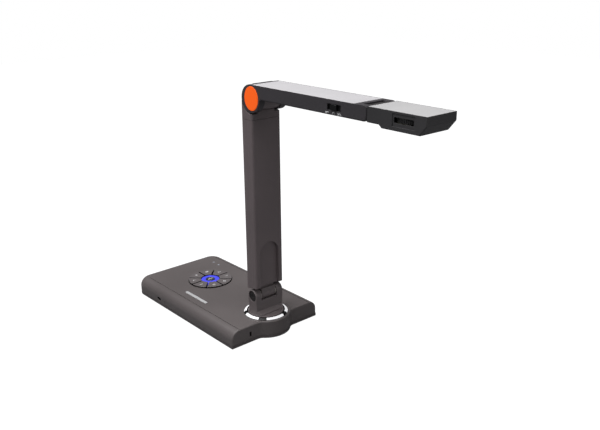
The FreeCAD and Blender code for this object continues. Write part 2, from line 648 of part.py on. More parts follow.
def make_rear_shell():
    outer = arm_block(ARM_BACK, COVER_SPLIT - SEAT, ARM_LOW, NECK_Z - SEAM, 0)
    inner = arm_block(ARM_BACK, COVER_SPLIT + 1, ARM_LOW + 4.0, NECK_Z - SEAM + 1, ARM_WALL)
    shell = outer.cut(inner)
    slot = box(ARM_BACK + ARM_WALL, 30, -BARREL_HALF - GAP, BARREL_HALF + GAP, ARM_LOW - 1, ARM_LOW + 6)
    posts = [cyl("x", ARM_BACK + 1, y, z, 3.2, COVER_SPLIT - SEAT - ARM_BACK - 1) for y, z in ARM_SCREWS]
    cuts = [cyl("x", ARM_BACK - 1, y, z, 1.25, 20) for y, z in ARM_SCREWS]
    cuts += [cyl("x", ARM_BACK - 1, y, z, 2.3, 3.0) for y, z in ARM_SCREWS]
    return remove(join([shell.cut(slot)] + posts), cuts + [slant_cut()])


def make_front_cover():
    outer = arm_block(COVER_SPLIT, ARM_FACE, ARM_LOW, NECK_Z - SEAM, 0)
    inner = arm_block(COVER_SPLIT - 1, ARM_FACE, ARM_LOW + 4.0, NECK_Z - SEAM + 1, ARM_WALL)
    shell = outer.cut(inner)
    pocket = recess_form(ARM_WALL, RECESS_DEPTH + ARM_WALL)
    pocket = pocket.common(box(COVER_SPLIT, ARM_FACE - 0.2, -HALF_ARM + 0.5, HALF_ARM - 0.5, ARM_LOW,
                               NECK_Z))
    shell = shell.fuse(pocket).removeSplitter()
    slot = box(COVER_SPLIT - 1, 30, -BARREL_HALF - GAP, BARREL_HALF + GAP, ARM_LOW - 1, ARM_LOW + 4.0)
    posts = [cyl("x", COVER_SPLIT, y, z, 3.2, ARM_FACE - 1 - COVER_SPLIT) for y, z in ARM_SCREWS]
    cuts = [cyl("x", COVER_SPLIT - 1, y, z, 1.2, 6.5) for y, z in ARM_SCREWS]
    return remove(join([shell] + posts), cuts + [recess_form(0, RECESS_DEPTH), slot, slant_cut()])


def make_arm_knuckle():
    """The barrel between the turret's ears, with the tang that carries the arm's spine."""
    barrel = cyl("y", 0, -BARREL_HALF, HINGE_Z, KNUCKLE_R, 2 * BARREL_HALF)
    tang = box(ARM_BACK + ARM_WALL + GAP, COVER_SPLIT + 1.8, -BARREL_HALF, BARREL_HALF, HINGE_Z,
               ARM_LOW + 18)
    tang = tang.fuse(box(ARM_BACK + ARM_WALL + GAP, KNUCKLE_R - 0.6, -BARREL_HALF, BARREL_HALF, HINGE_Z,
                         ARM_LOW - 0.2))
    knuckle = join([barrel, tang])
    bore = cyl("y", 0, -BARREL_HALF - 1, HINGE_Z, HINGE_PIN_R + FIT, 2 * BARREL_HALF + 2)
    return remove(knuckle, [bore])


def make_spine():
    """The pressed-steel bar that ties the lower knuckle to the elbow neck."""
    low = ARM_LOW + 18 + SEAT
    high = NECK_Z - 14 - SEAT
    bar = box(ARM_BACK + ARM_WALL + GAP, ARM_BACK + ARM_WALL + GAP + 2.0, -11, 11, low, high)
    flanges = both_sides(box(ARM_BACK + ARM_WALL + GAP, COVER_SPLIT + 1.0, 10, 12, low, high))
    return join([bar] + flanges)


def make_elbow_neck():
    """The top of the lower arm: a collar hollowed for the elbow's ears, and the barrel between them."""
    hollow_r = ELBOW_X - HUB_X + HUB_R + GAP
    collar = arm_block(ARM_BACK, ARM_FACE, NECK_Z, ELBOW_Z, 0)
    ear_ways = both_sides(cyl("y", ELBOW_X, TONGUE_HALF, ELBOW_Z, hollow_r, ELBOW_EAR_W + 3))
    hood_way = box(ARM_BACK - 1, ARM_FACE + 1, -TONGUE_HALF - 0.1, TONGUE_HALF + 0.1, ELBOW_Z - 7.5,
                   ELBOW_Z + 1)
    collar = remove(collar, ear_ways + [hood_way])
    collar = collar.common(box(ARM_BACK, ARM_FACE, -HALF_ARM, HALF_ARM, NECK_Z, ELBOW_Z - 4.0))
    tongue = cyl("y", ELBOW_X, -TONGUE_HALF, ELBOW_Z, ELBOW_BARREL_R, 2 * TONGUE_HALF)
    web = box(ARM_BACK + 0.8, ARM_FACE - 0.8, -TONGUE_HALF, TONGUE_HALF, NECK_Z + 2, ELBOW_Z - 7.5)
    plug = box(ARM_BACK + ARM_WALL + GAP, ARM_FACE - ARM_WALL - GAP, -HALF_ARM + ARM_WALL + GAP,
               HALF_ARM - ARM_WALL - GAP, NECK_Z - 12, NECK_Z + 1)
    neck = join([collar, web, tongue, plug])
    bore = cyl("y", ELBOW_X, -TONGUE_HALF - 1, ELBOW_Z, ELBOW_PIN_R + FIT, 2 * TONGUE_HALF + 2)
    spring = cyl("y", ELBOW_X, -7.0, ELBOW_Z, 9.0, 14.0)
    channel = box(-2.0, 4.0, 9.0, 12.0, NECK_Z - 14, ELBOW_Z - 8.0)
    barrel_low = ELBOW_Z - ELBOW_BARREL_R
    groove = box(ARM_FACE - 0.8, ARM_FACE + 3, -TONGUE_HALF, TONGUE_HALF, barrel_low - 1.0,
                 barrel_low + 0.2)
    return remove(neck, [bore, spring, channel, groove])


def make_elbow_spring():
    """The torsion spring's outer form inside the elbow barrel."""
    return tube("y", ELBOW_X, -6.6, ELBOW_Z, 8.6, ELBOW_PIN_R + 0.8, 13.2)


def make_arm_screws():
    """The screws from behind that hold the rear shell to the front cover's posts."""
    screws = []
    for y, z in ARM_SCREWS:
        head = cyl("x", ARM_BACK + 0.5, y, z, 2.2, 1.5 - SEAT)
        shank = cyl("x", ARM_BACK + 1.0, y, z, 1.2 - SEAT, COVER_SPLIT + 5.0 - ARM_BACK - 1.0)
        slot = box(ARM_BACK, ARM_BACK + 1.1, y - 1.4, y + 1.4, z - 0.3, z + 0.3)
        screws.append(join([head, shank]).cut(slot))
    return Part.makeCompound(screws)


# ---- upper arm ----------------------------------------------------------------------------------

PLATE_SCREWS = [(x, y) for x in (50, 110, 168) for y in (-13, 13)]


def first_angle(sector):
    """The angle of a fresh cylinder sector's own start about the -Y axis, in degrees up from +X."""
    middle = sector.CenterOfMass
    return math.degrees(math.atan2(middle.z, middle.x)) - (HOOD_TO - HOOD_FROM) / 2


def cap_form(start, length, grow):
    """A short bar with the elbow cap's oval outline."""
    middle = V(CAP_X, start, CAP_Z)
    oval = Part.Ellipse(middle + V(0, 0, CAP_RZ + grow), middle + V(CAP_RX + grow, 0, 0), middle)
    return Part.Face(Part.Wire(oval.toShape())).extrude(V(0, length, 0))


def make_upper_body():
    """The upper arm's dark channel, with the elbow's two round ears and the ears for the head."""
    body = box(ELBOW_X + ELBOW_R - 2, UPPER_END, -HALF_ARM, HALF_ARM, UPPER_BOTTOM, ARM_TOP)
    body = round_edges(body, END_CORNER_R, lambda e: along(e, "y") and e.CenterOfMass.x > UPPER_END - 0.01
                       and e.CenterOfMass.z < UPPER_BOTTOM + 0.01)
    body = round_edges(body, LOW_EDGE_R, lambda e: abs(e.CenterOfMass.y) > HALF_ARM - 0.01
                       and e.CenterOfMass.z < UPPER_BOTTOM + END_CORNER_R - 0.1 and not along(e, "z"))
    inner = box(ELBOW_X + ELBOW_R + 2.2, TILT_X - 13, -HALF_ARM + ARM_WALL, HALF_ARM - ARM_WALL,
                UPPER_BOTTOM + ARM_WALL, ARM_TOP + 1)
    body = body.cut(inner)
    ears = []
    for side in (-1, 1):
        y0 = ELBOW_EAR_IN if side > 0 else -HALF_ARM
        disc = cyl("y", HUB_X, y0, ELBOW_Z, HUB_R, ELBOW_EAR_W)
        disc = disc.common(box(-50, 50, -50, 50, 200, ARM_TOP))
        arm = box(ELBOW_X, ELBOW_X + ELBOW_R, y0, y0 + ELBOW_EAR_W, UPPER_BOTTOM, ARM_TOP)
        ears += [disc, arm]
    body = join([body] + ears)
    hood = Part.makeCylinder(ELBOW_R, 2 * ELBOW_EAR_IN + 1, V(0, 0, 0), V(0, -1, 0), HOOD_TO - HOOD_FROM)
    hood.rotate(V(0, 0, 0), V(0, -1, 0), HOOD_FROM - first_angle(hood))
    hood.translate(V(ELBOW_X, ELBOW_EAR_IN + 0.5, ELBOW_Z))
    hood = hood.common(box(-50, ELBOW_X + ELBOW_R + 3, -40, 40, 200, ARM_TOP))
    bosses = [cyl("z", x, y, UPPER_BOTTOM + 1, 3.2, PLATE_IN_Z - UPPER_BOTTOM - 1) for x, y in PLATE_SCREWS]
    body = join([body, hood] + bosses)
    barrel_way = TILT_BARREL_R + GAP
    cuts = [cyl("y", ELBOW_X, -ELBOW_EAR_IN, ELBOW_Z, ELBOW_BARREL_R + GAP, 2 * ELBOW_EAR_IN)]
    cuts.append(cyl("y", ELBOW_X, -40, ELBOW_Z, ELBOW_PIN_R + SEAT, 80))
    cuts += both_sides(cap_form(HALF_ARM - CAP_T + CAP_RISE, 5, SEAT))
    cuts.append(box(TOP_PLATE_START - SEAM, TOP_PLATE_END + SEAM, -HALF_ARM + 0.5, HALF_ARM - 0.5,
                    PLATE_IN_Z, ARM_TOP + 1))
    cuts.append(cyl("y", TILT_X, -TILT_EAR_IN, TILT_Z, barrel_way, 2 * TILT_EAR_IN))
    cuts.append(box(TILT_X - barrel_way - 2.2, UPPER_END + 1, -TILT_EAR_IN, TILT_EAR_IN, TILT_Z,
                    ARM_TOP + 1))
    cuts.append(box(TILT_X, UPPER_END + 1, -TILT_EAR_IN, TILT_EAR_IN, UPPER_BOTTOM - 1, ARM_TOP + 1))
    cuts.append(cyl("y", TILT_X, -HALF_ARM + 1.5, TILT_Z, TILT_PIN_R + SEAT, ARM_W))
    nose_corner = box(TILT_X, UPPER_END + 1, -HALF_ARM - 1, HALF_ARM + 1, TILT_Z, ARM_TOP + 1)
    cuts.append(nose_corner.cut(cyl("y", TILT_X, -HALF_ARM - 2, TILT_Z, NOSE_R, ARM_W + 4)))
    cuts.append(box(SWITCH_X - SWITCH_SLOT_L / 2, SWITCH_X + SWITCH_SLOT_L / 2, -HALF_ARM - 1,
                    -HALF_ARM + ARM_WALL + 1,
                    SWITCH_Z - SWITCH_SLOT_H / 2, SWITCH_Z + SWITCH_SLOT_H / 2))
    cuts += [cyl("z", x, y, UPPER_BOTTOM - 1, 1.2, 25) for x, y in PLATE_SCREWS]
    cuts += [cyl("z", x, y, UPPER_BOTTOM - 1, 2.3, 3.0) for x, y in PLATE_SCREWS]
    return remove(body, cuts)


def make_upper_plate():
    plate = box(TOP_PLATE_START, TOP_PLATE_END, -HALF_ARM + 0.5 + SEAT, HALF_ARM - 0.5 - SEAT,
                PLATE_IN_Z + SEAT, ARM_TOP)
    return round_edges(plate, 0.4, lambda e: e.CenterOfMass.z > ARM_TOP - 0.01)


def make_elbow_caps():
    """The two coloured discs that close the elbow's ears."""
    low = HALF_ARM - CAP_T + CAP_RISE + SEAT
    cap = cap_form(low, CAP_T - SEAT, 0)
    outer = low + CAP_T - SEAT
    cap = cap.makeFillet(0.4, [e for e in cap.Edges if abs(e.CenterOfMass.y - outer) < 0.01])
    return Part.makeCompound(both_sides(cap))


def make_elbow_pin():
    half = HALF_ARM - CAP_T + CAP_RISE - SEAT
    return cyl("y", ELBOW_X, -half, ELBOW_Z, ELBOW_PIN_R, 2 * half)


def make_elbow_washers():
    ring = tube("y", ELBOW_X, TONGUE_HALF + 0.05, ELBOW_Z, ELBOW_BARREL_R - 1.0, ELBOW_PIN_R + FIT,
                GAP - 0.1)
    return Part.makeCompound(both_sides(ring))


def make_plate_screws():
    """The screws from below that pull the top plate down on the channel's posts."""
    screws = []
    for x, y in PLATE_SCREWS:
        head = cyl("z", x, y, UPPER_BOTTOM + 0.5, 2.2, 1.5 - SEAT)
        shank = cyl("z", x, y, UPPER_BOTTOM + 1.0, 1.2 - SEAT, PLATE_IN_Z - UPPER_BOTTOM - 1.0)
        slot = box(x - 1.4, x + 1.4, y - 0.3, y + 0.3, UPPER_BOTTOM, UPPER_BOTTOM + 1.1)
        screws.append(join([head, shank]).cut(slot))
    return Part.makeCompound(screws)


def make_lamp_board():
    """The small driver board behind the lamp switch."""
    y = -HALF_ARM + ARM_WALL
    board = box(SWITCH_X - 16, SWITCH_X + 12, y + 6.4, y + 8.0, UPPER_BOTTOM + ARM_WALL + 1.0,
                PLATE_IN_Z - 1.0)
    body = box(SWITCH_X - 8, SWITCH_X + 8, y + 3.6, y + 6.6, SWITCH_Z - 3.2, SWITCH_Z + 3.2)
    return join([board, body])


def make_lamp_switch():
    """The three-position slider: a ribbed knob on a plate that keeps the slot closed."""
    y = -HALF_ARM
    long_half = SWITCH_SLOT_L / 2 + SWITCH_STEP + 0.8
    plate = box(SWITCH_X - long_half, SWITCH_X + long_half, y + ARM_WALL + GAP, y + ARM_WALL + GAP + 0.8,
                SWITCH_Z - SWITCH_SLOT_H / 2 - 0.8, SWITCH_Z + SWITCH_SLOT_H / 2 + 0.8)
    knob = box(SWITCH_X - SWITCH_KNOB_L / 2, SWITCH_X + SWITCH_KNOB_L / 2, y - 0.8,
               y + ARM_WALL + GAP + 0.4,
               SWITCH_Z - SWITCH_SLOT_H / 2 + GAP, SWITCH_Z + SWITCH_SLOT_H / 2 - GAP)
    ribs = [box(SWITCH_X + k * 1.4 - 0.35, SWITCH_X + k * 1.4 + 0.35, y - 1.2, y - 0.3,
                SWITCH_Z - SWITCH_SLOT_H / 2 + GAP, SWITCH_Z + SWITCH_SLOT_H / 2 - GAP) for k in (-2, -1,
                                                                                                  0, 1, 2)]
    return join([plate, knob] + ribs)


# ---- head ---------------------------------------------------------------------------------------

def head_outline(inset):
    """Side outline of the head: flat top, stepped underside and a cut-back nose."""
    return [(HEAD_START + inset, ARM_TOP - inset), (HEAD_END - inset, ARM_TOP - inset),
            (HEAD_END - inset, HEAD_NOSE_Z),
            (HEAD_END - HEAD_NOSE_RUN - inset * 0.6, HEAD_BOTTOM + inset),
            (HEAD_STEP_X + HEAD_STEP_RUN, HEAD_BOTTOM + inset),
            (HEAD_STEP_X, HEAD_REAR_BOTTOM + inset), (HEAD_START + inset, HEAD_REAR_BOTTOM + inset)]


def make_head_housing():
    outer = prism(head_outline(0), "y", -HALF_ARM, HALF_ARM)

    def side_edge(e):
        on_side = abs(abs(e.CenterOfMass.y) - HALF_ARM) < 0.01
        return on_side and e.CenterOfMass.z < HEAD_NOSE_Z and not along(e, "z")
    outer = round_edges(outer, 1.2, side_edge)
    inner = prism(head_outline(ARM_WALL), "y", -HALF_ARM + ARM_WALL, HALF_ARM - ARM_WALL)
    inner = inner.fuse(box(HEAD_START + ARM_WALL, HEAD_END - ARM_WALL, -HALF_ARM + ARM_WALL,
                           HALF_ARM - ARM_WALL,
                           HEAD_NOSE_Z, ARM_TOP + 1))
    housing = outer.cut(inner)
    cuts = [box(HEAD_START + 0.6, HEAD_END - 0.5, -HALF_ARM + 0.5, HALF_ARM - 0.5, PLATE_IN_Z, ARM_TOP + 1)]
    cuts.append(cyl("z", LENS_X, 0, HEAD_BOTTOM - 1, LENS_BEZEL_R + SEAT, 6))
    panel = box(LENS_X - FOCUS_PANEL_L / 2, LENS_X + FOCUS_PANEL_L / 2, HALF_ARM - FOCUS_PANEL_DEPTH,
                HALF_ARM + 1,
                FOCUS_WINDOW_Z - FOCUS_PANEL_H / 2, FOCUS_WINDOW_Z + FOCUS_PANEL_H / 2)
    window = box(LENS_X - FOCUS_WINDOW_L / 2, LENS_X + FOCUS_WINDOW_L / 2, HALF_ARM - 4, HALF_ARM + 1,
                 FOCUS_WINDOW_Z - FOCUS_WINDOW_H / 2, FOCUS_WINDOW_Z + FOCUS_WINDOW_H / 2)
    cuts += both_sides(panel) + both_sides(window)
    cuts.append(box(LAMP_X - 3.2, LAMP_X + 3.2, -8.0, 8.0, HEAD_BOTTOM - 1, HEAD_BOTTOM + 4))
    return remove(housing, cuts)


def make_head_knuckle():
    """The barrel behind the head, between the upper arm's end ears."""
    barrel = cyl("y", TILT_X, -TILT_HALF, TILT_Z, TILT_BARREL_R, 2 * TILT_HALF)
    tang = box(TILT_X, HEAD_START, -TILT_HALF, TILT_HALF, TILT_Z - 4.6, TILT_Z + 1.0)
    lug = box(HEAD_START - 0.5, HEAD_START - SEAT, -TILT_HALF, TILT_HALF, HEAD_REAR_BOTTOM + 1.0,
              TILT_Z + 1.0)
    knuckle = join([barrel, tang, lug])
    return knuckle.cut(cyl("y", TILT_X, -TILT_HALF - 1, TILT_Z, TILT_PIN_R + FIT, 2 * TILT_HALF + 2))


def make_head_plate():
    plate = box(HEAD_START + 0.6 + SEAT, HEAD_END - 0.5 - SEAT, -HALF_ARM + 0.5 + SEAT,
                HALF_ARM - 0.5 - SEAT,
                PLATE_IN_Z + SEAT, ARM_TOP)
    return round_edges(plate, 0.4, lambda e: e.CenterOfMass.z > ARM_TOP - 0.01)


def make_tilt_pin():
    return cyl("y", TILT_X, -HALF_ARM + 1.5, TILT_Z, TILT_PIN_R, ARM_W - 3.0)


def make_lens_bezel():
    """The round surround that stands a little below the head."""
    low = HEAD_BOTTOM - LENS_BEZEL_RISE
    bezel = cyl("z", LENS_X, 0, low, LENS_BEZEL_R, LENS_BEZEL_RISE + 3.0)
    bezel = bezel.makeFillet(0.6, [e for e in bezel.Edges if abs(e.CenterOfMass.z - low) < 0.01])
    return bezel.cut(cyl("z", LENS_X, 0, low - 1, 8.0, 10))


def make_lens_glass():
    low = HEAD_BOTTOM - LENS_BEZEL_RISE + 0.5
    return cyl("z", LENS_X, 0, low, 8.0 - SEAT, 1.2)


def make_lens_barrel():
    low = HEAD_BOTTOM - LENS_BEZEL_RISE + 1.7 + SEAT
    return tube("z", LENS_X, 0, low, 7.4, 4.6, FOCUS_Z + FOCUS_H / 2 + 1.2 - low)


def make_lens_elements():
    low = HEAD_BOTTOM + 1.2
    return Part.makeCompound([cyl("z", LENS_X, 0, low + k * 4.4, 4.6 - SEAT, 2.0) for k in range(3)])


def make_focus_ring():
    """The ribbed wheel around the lens, seen through the windows in the head's sides."""
    low = FOCUS_Z - FOCUS_H / 2
    ring = tube("z", LENS_X, 0, low, FOCUS_R - 0.6, 7.4 + FIT, FOCUS_H)
    ring = ring.cut(tube("z", LENS_X, 0, low - 1, 17.0, 10.0, FOCUS_H - 0.5))
    ribs = []
    for k in range(FOCUS_RIBS):
        rib = box(LENS_X + FOCUS_R - 1.2, LENS_X + FOCUS_R, -0.55, 0.55, low, low + FOCUS_H)
        rib.rotate(V(LENS_X, 0, 0), V(0, 0, 1), 360.0 * k / FOCUS_RIBS)
        ribs.append(rib)
    return ring.fuse(ribs).removeSplitter()


def make_sensor_board():
    z = FOCUS_Z + FOCUS_H / 2 + 1.2 + SEAT
    board = box(LENS_X - 17, LENS_X + 17, -16, 16, z, z + 1.0)
    return board


def make_lamp_window():
    return box(LAMP_X - 3.2 + SEAT, LAMP_X + 3.2 - SEAT, -8.0 + SEAT, 8.0 - SEAT, HEAD_BOTTOM + 0.1,
               HEAD_BOTTOM + ARM_WALL)


def make_lamp_leds():
    z = HEAD_BOTTOM + ARM_WALL + 0.3
    strip = box(LAMP_X - 3.4, LAMP_X + 3.4, -9, 9, z + 1.0, z + 2.0)
    chips = [box(LAMP_X - 1.4, LAMP_X + 1.4, y - 1.4, y + 1.4, z, z + 1.1) for y in (-5.5, 0, 5.5)]
    return join([strip] + chips)


# ---- export -------------------------------------------------------------------------------------

save("base_top_shell", make_top_shell())
save("base_bottom_cover", make_bottom_cover())
save("base_feet", make_feet())
save("base_screws", make_case_screws())
save("ballast_plate", make_ballast())
save("main_board", make_main_board())
save("keypad_carrier", make_keypad_carrier())
save("keypad_mat", make_keypad_mat())
save("keypad_light_ring", make_light_ring())
save("name_badge_blank", make_badge())
save("indicator_light_pipes", make_light_pipes())
save("side_socket", make_side_socket())
save("rear_usb_socket", make_rear_usb())
save("rear_power_jack", make_power_jack())
save("lock_slot_plate", make_lock_plate())
save("turret_trim_ring", make_trim_ring())
save("turret_washers", make_turret_washers())
save("ok_key", make_ok_key())
for key in range(PAD_KEYS):
    save("pad_key_%d" % (key + 1), make_wedge_key(key))

save("turret_disc", make_turret_disc())
save("spindle_nut", make_spindle_nut())
save("turret_bracket", make_turret_bracket())
save("bracket_screws", make_bracket_screws())
save("hinge_caps", make_hinge_caps())
save("lower_hinge_pin", make_hinge_pin())
save("lower_hinge_washers", make_hinge_washers())

save("lower_arm_rear_shell", make_rear_shell())
save("lower_arm_front_cover", make_front_cover())
save("lower_arm_knuckle", make_arm_knuckle())
save("lower_arm_spine", make_spine())
save("elbow_neck", make_elbow_neck())
save("elbow_spring", make_elbow_spring())
save("lower_arm_screws", make_arm_screws())

save("upper_arm_body", make_upper_body())
save("upper_arm_top_plate", make_upper_plate())
save("elbow_caps", make_elbow_caps())
save("elbow_pin", make_elbow_pin())
save("elbow_washers", make_elbow_washers())
save("top_plate_screws", make_plate_screws())
save("lamp_driver_board", make_lamp_board())
save("head_tilt_pin", make_tilt_pin())
save("lamp_switch", make_lamp_switch())

save("head_housing", make_head_housing())
save("head_knuckle", make_head_knuckle())
save("head_top_plate", make_head_plate())
save("lens_bezel", make_lens_bezel())
save("lens_glass", make_lens_glass())
save("lens_barrel", make_lens_barrel())
save("lens_elements", make_lens_elements())
save("focus_ring", make_focus_ring())
save("sensor_board", make_sensor_board())
save("lamp_window", make_lamp_window())
save("lamp_leds", make_lamp_leds())
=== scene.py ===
import math

import bpy
from mathutils import Matrix, Vector


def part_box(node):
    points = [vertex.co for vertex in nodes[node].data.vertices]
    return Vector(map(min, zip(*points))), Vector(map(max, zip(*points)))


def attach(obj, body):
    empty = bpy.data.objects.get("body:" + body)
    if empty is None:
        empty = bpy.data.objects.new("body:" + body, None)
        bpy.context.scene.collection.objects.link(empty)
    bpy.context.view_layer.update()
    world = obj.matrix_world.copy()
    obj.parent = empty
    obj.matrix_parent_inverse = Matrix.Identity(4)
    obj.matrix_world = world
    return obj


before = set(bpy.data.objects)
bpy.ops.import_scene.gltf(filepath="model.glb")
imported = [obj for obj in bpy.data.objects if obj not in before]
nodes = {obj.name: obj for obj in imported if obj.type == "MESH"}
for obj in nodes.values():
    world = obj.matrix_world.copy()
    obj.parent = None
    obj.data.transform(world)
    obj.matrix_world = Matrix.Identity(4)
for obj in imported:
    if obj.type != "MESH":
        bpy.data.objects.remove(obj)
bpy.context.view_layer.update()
scene = bpy.context.scene

# ---- camera -------------------------------------------------------------------------------------
# A long-ish lens about a metre away, a little above the head and turned to see the keypad side
# and the end of the base together.
EYE = Vector((0.700339, -0.551854, 0.465953))
RIGHT = Vector((0.66099, 0.75036, -0.00719)).normalized()
FORWARD = Vector((-0.71112, 0.62330, -0.32527)).normalized()
UP = RIGHT.cross(FORWARD).normalized()
camera_data = bpy.data.cameras.new("camera")
camera_data.sensor_width = 36.0
camera_data.lens = 44.10
camera_data.clip_start = 0.01
camera = bpy.data.objects.new("camera", camera_data)
camera.matrix_world = Matrix.Translation(EYE) @ Matrix((RIGHT, UP, -FORWARD)).transposed().to_4x4()
scene.collection.objects.link(camera)
scene.camera = camera
scene.view_settings.view_transform = "Standard"
scene.view_settings.look = "None"

# ---- studio -------------------------------------------------------------------------------------
# A white table that runs out to a white room, one large soft light overhead and three weak ones at
# the side, the end and the head, so the tops are bright, the long sides middling and the ends darkest.
TABLE_SIZE = 6.0
TABLE_BELOW = 0.0002
TABLE_WHITE = (1.0, 1.0, 1.0, 1.0)
TABLE_GLOW_SEEN = 1.0
TABLE_GLOW_CAST = 0.03
TABLE_DIFFUSE = (0.16, 0.16, 0.165, 1.0)
ROOM_SEEN = 1.0
ROOM_CAST = 0.11


def light_path_mix(tree, seen, cast):
    """A value that is seen where the camera looks straight at it, and cast for all light it gives."""
    path = tree.nodes.new("ShaderNodeLightPath")
    level = tree.nodes.new("ShaderNodeMapRange")
    level.inputs["To Min"].default_value = cast
    level.inputs["To Max"].default_value = seen
    tree.links.new(path.outputs["Is Camera Ray"], level.inputs["Value"])
    return level.outputs["Result"]


world = bpy.data.worlds.new("white_room")
world.use_nodes = True
scene.world = world
background = world.node_tree.nodes["Background"]
background.inputs["Color"].default_value = TABLE_WHITE
room_level = light_path_mix(world.node_tree, ROOM_SEEN, ROOM_CAST)
world.node_tree.links.new(room_level, background.inputs["Strength"])

bpy.ops.object.select_all(action="DESELECT")
bpy.ops.mesh.primitive_plane_add(size=TABLE_SIZE, location=(0, 0, -TABLE_BELOW))
table = bpy.context.object
table.name = "table_top"
table_paint = bpy.data.materials.new("table_white")
table_paint.use_nodes = True
tree = table_paint.node_tree
tree.nodes.clear()
glow = tree.nodes.new("ShaderNodeEmission")
glow.inputs["Color"].default_value = TABLE_WHITE
tree.links.new(light_path_mix(tree, TABLE_GLOW_SEEN, TABLE_GLOW_CAST), glow.inputs["Strength"])
matte = tree.nodes.new("ShaderNodeBsdfDiffuse")
matte.inputs["Color"].default_value = TABLE_DIFFUSE
both = tree.nodes.new("ShaderNodeAddShader")
out = tree.nodes.new("ShaderNodeOutputMaterial")
tree.links.new(glow.outputs[0], both.inputs[0])
tree.links.new(matte.outputs[0], both.inputs[1])
tree.links.new(both.outputs[0], out.inputs["Surface"])
table.data.materials.append(table_paint)

# name, place in m, aim in m, side in m, power in W
SOFT_LIGHTS = (
    ("overhead", (-0.25, -0.40, 1.80), (0.0, 0.0, 0.15), 1.6, 40.0),
    ("side_fill", (0.2, -2.2, 0.7), (0.0, 0.0, 0.15), 1.2, 2.9),
    ("end_fill", (2.2, 0.3, 0.8), (0.0, 0.0, 0.15), 1.2, 3.3),
    ("head_fill", (1.0, 0.15, 0.45), (0.2, 0.0, 0.28), 0.5, 0.55))
for name, place, aim, size, power in SOFT_LIGHTS:
    lamp = bpy.data.lights.new(name, "AREA")
    lamp.shape = "SQUARE"
    lamp.size = size
    lamp.energy = power
    holder = bpy.data.objects.new(name, lamp)
    holder.location = place
    holder.rotation_euler = (Vector(aim) - Vector(place)).to_track_quat("-Z", "Y").to_euler()
    scene.collection.objects.link(holder)

# ---- base case ----------------------------------------------------------------------------------
# The top shell is moulded in a warm grey with a fine spark texture and a satin paint, its arrises
# rubbed a little paler by hands; the bottom cover is the same plastic a shade darker.


def new_group(name, inputs, outputs):
    """An empty node group with its sockets made: each (socket name, socket type, default)."""
    group = bpy.data.node_groups.new(name, "ShaderNodeTree")
    for label, kind, default in inputs:
        socket = group.interface.new_socket(name=label, in_out="INPUT", socket_type=kind)
        if default is not None:
            socket.default_value = default
    for label, kind in outputs:
        group.interface.new_socket(name=label, in_out="OUTPUT", socket_type=kind)
    return group, group.nodes.new("NodeGroupInput"), group.nodes.new("NodeGroupOutput")


def soft_edge_group():
    """Where the surface bends sharply: a mask along the edges and the eased normal across them."""
    group, start, end = new_group(
        "soft_edge", [("Radius", "NodeSocketFloat", 0.0006)],
        [("Mask", "NodeSocketFloat"), ("Normal", "NodeSocketVector")])
    bevel = group.nodes.new("ShaderNodeBevel")
    bevel.samples = 6
    geometry = group.nodes.new("ShaderNodeNewGeometry")
    dot = group.nodes.new("ShaderNodeVectorMath")
    dot.operation = "DOT_PRODUCT"
    spread = group.nodes.new("ShaderNodeMapRange")
    spread.inputs["From Min"].default_value = 0.985
    spread.inputs["From Max"].default_value = 0.80
    group.links.new(start.outputs["Radius"], bevel.inputs["Radius"])
    group.links.new(bevel.outputs["Normal"], dot.inputs[0])
    group.links.new(geometry.outputs["Normal"], dot.inputs[1])
    group.links.new(dot.outputs["Value"], spread.inputs["Value"])
    group.links.new(spread.outputs["Result"], end.inputs["Mask"])
    group.links.new(bevel.outputs["Normal"], end.inputs["Normal"])
    return group


def mould_grain_group():
    """The spark-eroded texture of a moulded face: pits for the bump and a slow drift of tone."""
    group, start, end = new_group(
        "mould_grain", [("Scale", "NodeSocketFloat", 1600.0), ("Drift", "NodeSocketFloat", 9.0)],
        [("Height", "NodeSocketFloat"), ("Tone", "NodeSocketFloat"), ("Rub", "NodeSocketFloat")])
    place = group.nodes.new("ShaderNodeTexCoord")
    pits = group.nodes.new("ShaderNodeTexVoronoi")
    fine = group.nodes.new("ShaderNodeTexNoise")
    fine.inputs["Detail"].default_value = 4.0
    slow = group.nodes.new("ShaderNodeTexNoise")
    slow.inputs["Detail"].default_value = 3.0
    rub = group.nodes.new("ShaderNodeTexNoise")
    rub.inputs["Scale"].default_value = 160.0
    rub.inputs["Detail"].default_value = 5.0
    rub_level = group.nodes.new("ShaderNodeMapRange")
    rub_level.inputs["From Min"].default_value = 0.42
    rub_level.inputs["From Max"].default_value = 0.62
    add = group.nodes.new("ShaderNodeMath")
    add.operation = "MULTIPLY_ADD"
    add.inputs[1].default_value = 0.6
    tone = group.nodes.new("ShaderNodeMath")
    tone.operation = "MULTIPLY_ADD"
    tone.inputs[1].default_value = 0.35
    for noise in (pits, fine, slow, rub):
        group.links.new(place.outputs["Object"], noise.inputs["Vector"])
    group.links.new(start.outputs["Scale"], pits.inputs["Scale"])
    group.links.new(start.outputs["Scale"], fine.inputs["Scale"])
    group.links.new(start.outputs["Drift"], slow.inputs["Scale"])
    group.links.new(pits.outputs["Distance"], add.inputs[0])
    group.links.new(fine.outputs["Fac"], add.inputs[2])
    group.links.new(add.outputs[0], end.inputs["Height"])
    group.links.new(fine.outputs["Fac"], tone.inputs[0])
    group.links.new(slow.outputs["Fac"], tone.inputs[2])
    group.links.new(tone.outputs[0], end.inputs["Tone"])
    group.links.new(rub.outputs["Fac"], rub_level.inputs["Value"])
    group.links.new(rub_level.outputs["Result"], end.inputs["Rub"])
    return group


